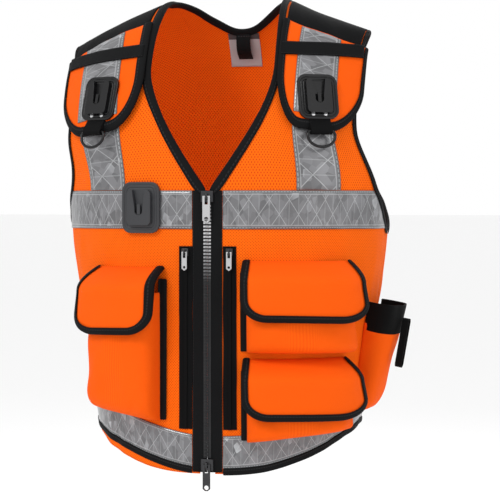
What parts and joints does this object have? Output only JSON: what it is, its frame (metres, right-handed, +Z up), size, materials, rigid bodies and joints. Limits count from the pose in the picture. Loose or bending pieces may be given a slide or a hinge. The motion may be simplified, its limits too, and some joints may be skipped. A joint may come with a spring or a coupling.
{
  "type": "high visibility vest",
  "caption": "Zip-front high visibility vest with reflective tape, bellows pockets under flaps, radio docks, hanging rings and a side pouch, worn by an invisible body.",
  "frame": {"origin": "on the body's vertical axis, level with the lowest point of the front hem", "axes": "+Z up, front towards -Y, the wearer's left towards +X"},
  "size_m": [0.4236, 0.3035, 0.5856],
  "materials": {
    "mesh_fabric": "open knit mesh",
    "orange_fabric": "plain weave",
    "reflective_tape": "glossy prismatic film",
    "zip_teeth": "moulded",
    "zip_metal": "polished",
    "black_plastic": "semi-gloss",
    "grey_plastic": "satin",
    "label_cloth": "woven satin",
    "black_webbing": "woven"
  },
  "bodies": {
    "vest": {"armhole_binding_left": "black_webbing", "armhole_binding_right": "black_webbing", "back_brace_tape_left": "reflective_tape", "back_brace_tape_right": "reflective_tape", "back_panel": "mesh_fabric", "bellows_pocket": "orange_fabric", "care_label": "label_cloth", "chest_dock_pad": "grey_plastic", "chest_dock_plate": "grey_plastic", "chest_tape_back": "reflective_tape", "chest_tape_left": "reflective_tape", "chest_tape_right": "reflective_tape", "chest_zip_tape_left": "black_webbing", "chest_zip_tape_right": "black_webbing", "front_brace_tape_left": "reflective_tape", "front_brace_tape_right": "reflective_tape", "front_panel_left": "mesh_fabric", "front_panel_right": "mesh_fabric", "hanger_loop": "black_webbing", "hem_binding": "black_webbing", "hem_tape": "reflective_tape", "lower_pocket": "orange_fabric", "neck_binding": "black_webbing", "pouch_elastic_loop": "black_webbing", "shoulder_yoke_left": "black_webbing", "shoulder_yoke_right": "black_webbing", "side_pouch": "orange_fabric", "upper_pocket": "orange_fabric", "zip_tape_left": "black_webbing", "zip_tape_right": "black_webbing", "zip_teeth_left": "zip_teeth", "zip_teeth_right": "zip_teeth"},
    "shoulder_flap_left": {"shoulder_flap_left": "orange_fabric", "flap_tape_left": "reflective_tape", "flap_strap_left": "black_webbing", "shoulder_dock_left_pad": "black_plastic", "shoulder_dock_left_plate": "black_plastic", "webbing_tab_left": "black_webbing"},
    "shoulder_catch_left": {"shoulder_dock_left_catch": "black_plastic"},
    "d_ring_left": {"d_ring_left": "black_plastic"},
    "chest_zip_left_slider": {"chest_zip_left_slider": "zip_metal"},
    "chest_zip_left_pull": {"chest_zip_left_pull": "zip_metal"},
    "shoulder_flap_right": {"shoulder_flap_right": "orange_fabric", "flap_tape_right": "reflective_tape", "flap_strap_right": "black_webbing", "shoulder_dock_right_pad": "black_plastic", "shoulder_dock_right_plate": "black_plastic", "webbing_tab_right": "black_webbing"},
    "shoulder_catch_right": {"shoulder_dock_right_catch": "black_plastic"},
    "d_ring_right": {"d_ring_right": "black_plastic"},
    "chest_zip_right_slider": {"chest_zip_right_slider": "zip_metal"},
    "chest_zip_right_pull": {"chest_zip_right_pull": "zip_metal"},
    "chest_catch": {"chest_dock_catch": "grey_plastic"},
    "main_slider": {"main_slider": "zip_metal"},
    "main_pull": {"main_pull": "zip_metal"},
    "lower_slider": {"lower_slider": "zip_metal"},
    "lower_pull": {"lower_pull": "zip_metal"},
    "bellows_pocket_flap": {"bellows_pocket_flap": "orange_fabric"},
    "upper_pocket_flap": {"upper_pocket_flap": "orange_fabric"},
    "lower_pocket_flap": {"lower_pocket_flap": "orange_fabric"}
  },
  "joints": [
    {"name": "shoulder_flap_left_lift", "type": "hinge", "parent": "vest", "child": "shoulder_flap_left", "pos_m": [0.12623, -0.04691, 0.51683], "axis": [-0.885, -0.3428, 0.3151], "range_deg": [0, 65]},
    {"name": "shoulder_catch_left_flex", "type": "hinge", "parent": "shoulder_flap_left", "child": "shoulder_catch_left", "pos_m": [0.12798, -0.10505, 0.43355], "axis": [-0.8797, -0.4755, 0], "range_deg": [0, 6], "stiffness_Nm_per_rad": 0.004},
    {"name": "d_ring_left_swing", "type": "hinge", "parent": "shoulder_flap_left", "child": "d_ring_left", "pos_m": [0.13017, -0.1091, 0.39991], "axis": [-0.8797, -0.4755, 0], "range_deg": [0, 110]},
    {"name": "chest_zip_left_run", "type": "slide", "parent": "vest", "child": "chest_zip_left_slider", "axis": [0, 0, -1], "range_m": [0, 0.19]},
    {"name": "chest_zip_left_pull_swing", "type": "hinge", "parent": "chest_zip_left_slider", "child": "chest_zip_left_pull", "pos_m": [0.02655, -0.13714, 0.25899], "axis": [-0.9984, -0.0574, 0], "range_deg": [0, 170]},
    {"name": "shoulder_flap_right_lift", "type": "hinge", "parent": "vest", "child": "shoulder_flap_right", "pos_m": [-0.1405, -0.04688, 0.5105], "axis": [-0.8926, 0.2875, -0.3472], "range_deg": [0, 65]},
    {"name": "shoulder_catch_right_flex", "type": "hinge", "parent": "shoulder_flap_right", "child": "shoulder_catch_right", "pos_m": [-0.14041, -0.10989, 0.43402], "axis": [-0.9142, 0.4052, 0], "range_deg": [0, 6], "stiffness_Nm_per_rad": 0.004},
    {"name": "d_ring_right_swing", "type": "hinge", "parent": "shoulder_flap_right", "child": "d_ring_right", "pos_m": [-0.14265, -0.11494, 0.40051], "axis": [-0.9142, 0.4052, 0], "range_deg": [0, 110]},
    {"name": "chest_zip_right_run", "type": "slide", "parent": "vest", "child": "chest_zip_right_slider", "axis": [0, 0, -1], "range_m": [0, 0.19]},
    {"name": "chest_zip_right_pull_swing", "type": "hinge", "parent": "chest_zip_right_slider", "child": "chest_zip_right_pull", "pos_m": [-0.02655, -0.13714, 0.25899], "axis": [-0.9984, 0.0574, 0], "range_deg": [0, 170]},
    {"name": "chest_catch_flex", "type": "hinge", "parent": "vest", "child": "chest_catch", "pos_m": [-0.0825, -0.13233, 0.30276], "axis": [-0.9727, 0.232, 0], "range_deg": [0, 6], "stiffness_Nm_per_rad": 0.004},
    {"name": "main_zip_run", "type": "slide", "parent": "vest", "child": "main_slider", "axis": [0, 0, -1], "range_m": [0, 0.268]},
    {"name": "main_pull_swing", "type": "hinge", "parent": "main_slider", "child": "main_pull", "pos_m": [0, -0.13811, 0.324], "axis": [-1, 0, 0], "range_deg": [0, 170]},
    {"name": "lower_zip_run", "type": "slide", "parent": "vest", "child": "lower_slider", "axis": [0, 0, -1], "range_m": [-0.2, 0]},
    {"name": "lower_pull_swing", "type": "hinge", "parent": "lower_slider", "child": "lower_pull", "pos_m": [0, -0.13811, 0.011], "axis": [-1, 0, 0], "range_deg": [0, 170]},
    {"name": "bellows_pocket_flap_lift", "type": "hinge", "parent": "vest", "child": "bellows_pocket_flap", "pos_m": [-0.09575, -0.11889, 0.23995], "axis": [-0.9412, 0.3378, -0.0013], "range_deg": [0, 95]},
    {"name": "upper_pocket_flap_lift", "type": "hinge", "parent": "vest", "child": "upper_pocket_flap", "pos_m": [0.1008, -0.11732, 0.24794], "axis": [-0.9251, -0.3797, 0.0014], "range_deg": [0, 95]},
    {"name": "lower_pocket_flap_lift", "type": "hinge", "parent": "vest", "child": "lower_pocket_flap", "pos_m": [0.09696, -0.11471, 0.13391], "axis": [-0.8869, -0.462, 0.0022], "range_deg": [0, 32]}
  ]
}
